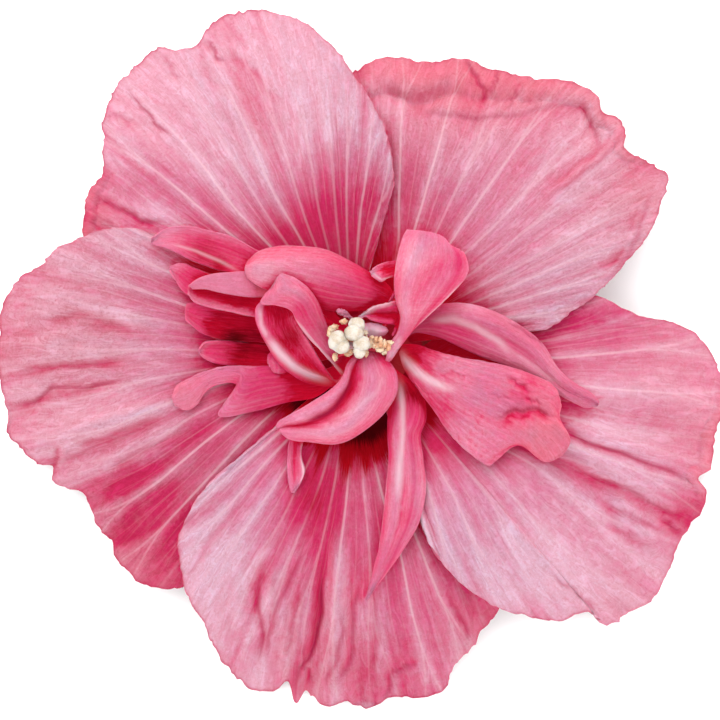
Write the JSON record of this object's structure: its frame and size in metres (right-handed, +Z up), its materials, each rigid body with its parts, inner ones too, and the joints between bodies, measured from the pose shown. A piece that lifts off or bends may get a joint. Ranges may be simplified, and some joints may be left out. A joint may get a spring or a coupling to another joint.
{
  "type": "rose of sharon flower",
  "caption": "Picked semi-double rose of sharon flower lying face up: broad overlapping veined pink petals, a tuft of narrow petaloids round cream stigma lobes, and a green calyx.",
  "frame": {"origin": "middle of the flower's box on the surface that its petal rims rest on", "axes": "+Z up out of the flower's face, +Y towards the two upper petals of the picture, +X towards the right petal"},
  "size_m": [0.0874, 0.0842, 0.0334],
  "materials": {
    "petal_pink": "soft matt petal with pale veins",
    "petaloid_pink": "soft matt petaloid with pale veins",
    "calyx_green": "matt green, finely hairy",
    "stamen_yellow": "dusty yellow anthers on a pale column",
    "stigma_cream": "waxy, minutely bumpy cream"
  },
  "bodies": {
    "root": {"petal_upper_left": "petal_pink", "petal_upper_right": "petal_pink", "petal_right": "petal_pink", "petal_bottom": "petal_pink", "petal_left": "petal_pink", "petaloid_torn_strip": "petaloid_pink", "petaloid_left_low": "petaloid_pink", "petaloid_left_dark": "petaloid_pink", "petaloid_left_tip": "petaloid_pink", "petaloid_upper_left": "petaloid_pink", "petaloid_hooked": "petaloid_pink", "petaloid_folded_left": "petaloid_pink", "petaloid_keeled": "petaloid_pink", "petaloid_long_right": "petaloid_pink", "petaloid_lower_strap": "petaloid_pink", "petaloid_crumpled": "petaloid_pink", "petaloid_hood": "petaloid_pink", "petaloid_twisted": "petaloid_pink", "petaloid_small_upper": "petaloid_pink", "petaloid_inner_strap": "petaloid_pink", "petaloid_tongue": "petaloid_pink", "petaloid_upright": "petaloid_pink", "calyx": "calyx_green", "stalk_and_bracts": "calyx_green", "staminal_column": "stamen_yellow", "style_and_stigma": "stigma_cream"}
  },
  "joints": []
}
